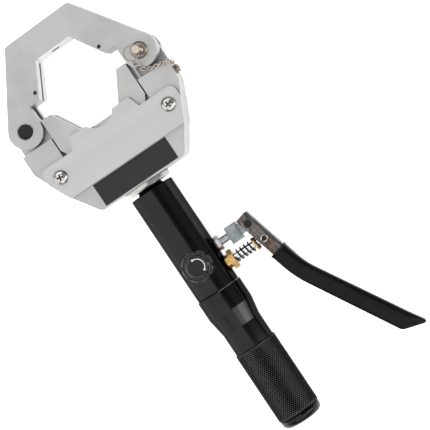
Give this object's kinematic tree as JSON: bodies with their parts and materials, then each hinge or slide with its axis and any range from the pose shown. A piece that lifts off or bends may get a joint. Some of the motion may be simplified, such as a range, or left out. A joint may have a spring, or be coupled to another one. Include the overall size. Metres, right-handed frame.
{
  "type": "hydraulic hose crimper",
  "caption": "Hand-pumped hydraulic hose crimper: a hinged jaw with a latch pin over a sliding six-sided die seat, on a tube body with a side pump lever and a knurled grip.",
  "frame": {"origin": "centre of the closed six-sided die opening, at the middle of the frame's thickness", "axes": "+Y along the tool from the grip to the crown of the jaw, +Z out of the front face that carries the release knob, +X towards the pump lever"},
  "size_m": [0.2059, 0.4002, 0.0616],
  "materials": {
    "frame_steel": "satin nickel-plated steel",
    "plate_steel": "satin ground steel plate",
    "bright_steel": "bright zinc-plated or ground steel",
    "black_steel": "black oxide",
    "dark_panel": "smooth matte film",
    "nickel": "warm nickel plating",
    "black_anodised": "black anodised, semi-gloss",
    "black_knurl": "black anodised diamond knurl",
    "spring_steel": "black spring steel",
    "rubber": "black nitrile rubber",
    "zinc": "blue zinc plating",
    "brass": "turned brass",
    "lever_steel": "pressed zinc-plated steel, tarnished",
    "handle_vinyl": "glossy dipped vinyl",
    "knob_plastic": "moulded black plastic"
  },
  "bodies": {
    "base": {"base_frame": "frame_steel", "front_cover_plate": "plate_steel", "rear_cover_plate": "plate_steel", "front_screws": "bright_steel", "rear_screws": "bright_steel", "label_panel": "dark_panel", "hinge_pin": "black_steel", "safety_chain": "nickel", "chain_screw": "nickel", "neck_collar": "bright_steel", "neck_gland": "black_anodised", "pump_body": "black_anodised", "valve_balls": "bright_steel", "return_spring": "spring_steel", "reservoir_housing": "black_anodised", "knurled_grip": "black_knurl", "end_cap": "black_anodised", "oil_bladder": "rubber", "stud_washer": "rubber", "lock_nut": "bright_steel", "fulcrum_block": "zinc", "gland_nut": "brass", "plunger_seal": "rubber", "plunger_spring": "spring_steel"},
    "jaw": {"upper_jaw": "frame_steel"},
    "latch": {"latch_pin": "nickel", "pull_ring": "nickel"},
    "ram": {"die_seat": "frame_steel", "ram": "bright_steel", "ram_seal": "rubber"},
    "lever": {"lever_channel": "lever_steel", "lever_handle": "handle_vinyl", "fulcrum_pin": "black_steel", "plunger_pin": "black_steel"},
    "plunger": {"plunger": "bright_steel", "spring_plate": "brass", "spring_washer": "rubber"},
    "knob": {"release_knob": "knob_plastic", "release_stem": "zinc"}
  },
  "joints": [
    {"name": "jaw_swing", "type": "hinge", "parent": "base", "child": "jaw", "pos_m": [-0.059, -0.0135, 0], "axis": [0, 0, 1], "range_deg": [0, 88]},
    {"name": "latch_pull", "type": "slide", "parent": "jaw", "child": "latch", "axis": [0, 0, 1], "range_m": [-0.0135, 0.012]},
    {"name": "seat_lift", "type": "slide", "parent": "base", "child": "ram", "axis": [0, 1, 0], "range_m": [0, 0.0115], "stiffness_N_per_m": 2000, "springref_m": -0.004, "deforming": ["return_spring"]},
    {"name": "lever_pump", "type": "hinge", "parent": "base", "child": "lever", "pos_m": [0.0528, -0.1806, 0], "axis": [0, 0, 1], "range_deg": [-26, 0], "stiffness_Nm_per_rad": 1.2, "springref_deg": 8.59},
    {"name": "plunger_push", "type": "slide", "parent": "base", "child": "plunger", "axis": [1, 0, 0], "range_m": [-0.0083, 0], "deforming": ["plunger_spring"]},
    {"name": "knob_turn", "type": "hinge", "parent": "base", "child": "knob", "pos_m": [0, -0.1868, 0], "axis": [0, 0, 1], "range_deg": [-90, 90]}
  ],
  "couplings": [
    {"joint": "plunger_push", "follows": "lever_pump", "m_per_rad": 0.018}
  ]
}
